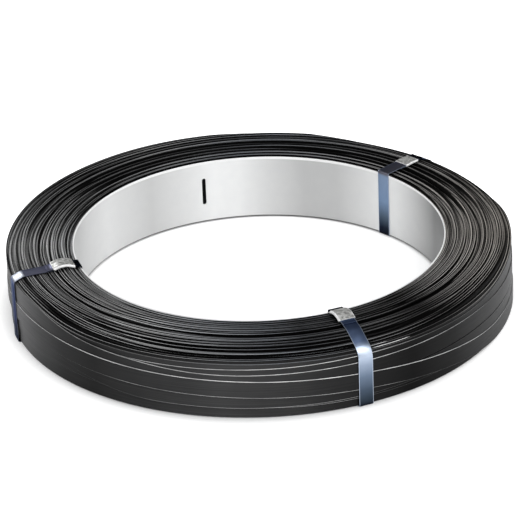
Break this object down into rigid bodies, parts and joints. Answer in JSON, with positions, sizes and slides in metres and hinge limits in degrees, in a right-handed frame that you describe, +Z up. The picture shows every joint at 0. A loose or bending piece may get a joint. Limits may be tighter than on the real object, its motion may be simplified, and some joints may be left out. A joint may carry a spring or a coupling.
{
  "type": "steel strapping coil",
  "caption": "Flat ring coil of black steel strapping wound on a bright sheet-metal core with a clear bore, bound by blued tie straps with folded seals.",
  "frame": {"origin": "centre of the bore, on the floor that the coil lies on", "axes": "+Z up along the axis of the bore, -Y towards the viewer of the picture"},
  "size_m": [0.5562, 0.5562, 0.084],
  "materials": {
    "strap_black": "black waxed paint, satin, bare bright edges",
    "core_zinc": "galvanised sheet, soft satin",
    "tie_blue": "blued steel strap, satin",
    "seal_zinc": "galvanised sheet, crimped and scuffed"
  },
  "bodies": {
    "root": {"strap_winding": "strap_black", "core_ring": "core_zinc", "tie_strap_front": "tie_blue", "tie_strap_left": "tie_blue", "tie_strap_rear": "tie_blue", "seal_front": "seal_zinc", "seal_left": "seal_zinc", "seal_rear": "seal_zinc"}
  },
  "joints": []
}
